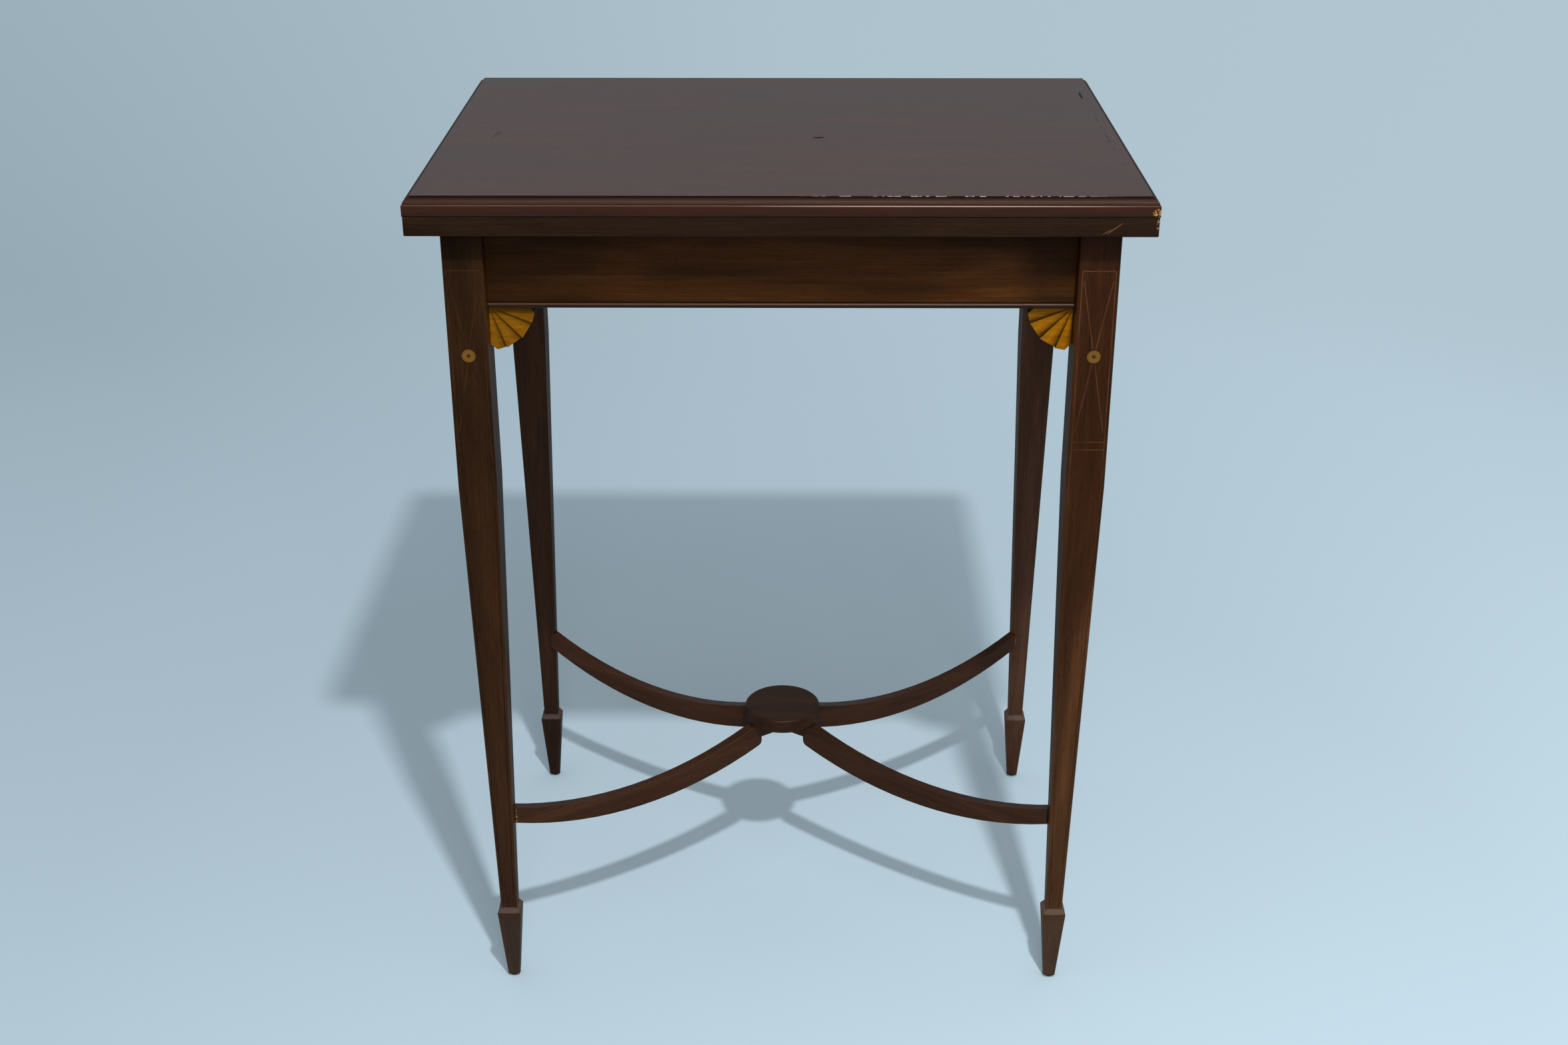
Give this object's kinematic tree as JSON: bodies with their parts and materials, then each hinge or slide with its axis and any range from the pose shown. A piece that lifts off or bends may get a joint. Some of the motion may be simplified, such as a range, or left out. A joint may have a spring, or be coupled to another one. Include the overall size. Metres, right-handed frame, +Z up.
{
  "type": "fold-over games table",
  "caption": "Small inlaid games table with tapered spade-foot legs, a cross stretcher with centre disc, and a two-leaf top that turns and unfolds over a card well.",
  "frame": {"origin": "on the floor, under the middle of the closed table", "axes": "+Z up, -Y towards the front with the inlaid legs, +X to the right seen from the front; the leaves' hinged edge is on +Y"},
  "size_m": [0.572, 0.412, 0.742],
  "materials": {
    "mahogany": "dark red-brown, polished",
    "satinwood": "golden, polished",
    "boxwood": "pale yellow-brown, polished",
    "pine": "plain, unpolished",
    "brass": "aged, dull",
    "steel": "dull",
    "baize": "green wool cloth"
  },
  "bodies": {
    "frame": {"front_left_leg": "mahogany", "front_right_leg": "mahogany", "rear_left_leg": "mahogany", "rear_right_leg": "mahogany", "front_frieze": "mahogany", "rear_frieze": "mahogany", "left_frieze": "mahogany", "right_frieze": "mahogany", "front_cock_bead": "mahogany", "rear_cock_bead": "mahogany", "left_cock_bead": "mahogany", "right_cock_bead": "mahogany", "fan_bracket_front_left": "satinwood", "fan_bracket_front_right": "satinwood", "fan_bracket_rear_left": "satinwood", "fan_bracket_rear_right": "satinwood", "fan_bracket_left_front": "satinwood", "fan_bracket_left_rear": "satinwood", "fan_bracket_right_front": "satinwood", "fan_bracket_right_rear": "satinwood", "well_floor": "pine", "well_partition": "pine", "pivot_rail": "pine", "stretcher_disc": "mahogany", "stretcher_arm_front_left": "mahogany", "stretcher_arm_front_right": "mahogany", "stretcher_arm_rear_left": "mahogany", "stretcher_arm_rear_right": "mahogany", "foot_glide_front_left": "steel", "foot_glide_front_right": "steel", "foot_glide_rear_left": "steel", "foot_glide_rear_right": "steel", "patera_front_left": "boxwood", "patera_front_right": "boxwood"},
    "lower_leaf": {"lower_leaf": "mahogany", "lower_baize": "baize", "pivot_bolt": "steel", "pivot_washer": "steel", "pivot_nut": "steel", "hinge_plate_lower_left": "brass", "hinge_plate_lower_right": "brass", "hinge_screw_lower_left_1": "brass", "hinge_screw_lower_left_2": "brass", "hinge_screw_lower_right_1": "brass", "hinge_screw_lower_right_2": "brass"},
    "hinge_links": {"hinge_link_left": "brass", "hinge_link_right": "brass", "hinge_pin_lower_left": "brass", "hinge_pin_lower_right": "brass", "hinge_pin_upper_left": "brass", "hinge_pin_upper_right": "brass"},
    "upper_leaf": {"upper_leaf": "mahogany", "upper_baize": "baize", "hinge_plate_upper_left": "brass", "hinge_plate_upper_right": "brass", "hinge_screw_upper_left_1": "brass", "hinge_screw_upper_left_2": "brass", "hinge_screw_upper_right_1": "brass", "hinge_screw_upper_right_2": "brass"}
  },
  "joints": [
    {"name": "top_swivel", "type": "hinge", "parent": "frame", "child": "lower_leaf", "pos_m": [0.103, 0.103, 0.7114], "axis": [0, 0, 1], "range_deg": [0, 90]},
    {"name": "link_fold", "type": "hinge", "parent": "lower_leaf", "child": "hinge_links", "pos_m": [0, 0.203, 0.7237], "axis": [-1, 0, 0], "range_deg": [0, 90]},
    {"name": "leaf_fold", "type": "hinge", "parent": "hinge_links", "child": "upper_leaf", "pos_m": [0, 0.203, 0.73], "axis": [-1, 0, 0], "range_deg": [0, 90]}
  ],
  "couplings": [
    {"joint": "link_fold", "follows": "leaf_fold", "ratio": 1}
  ]
}
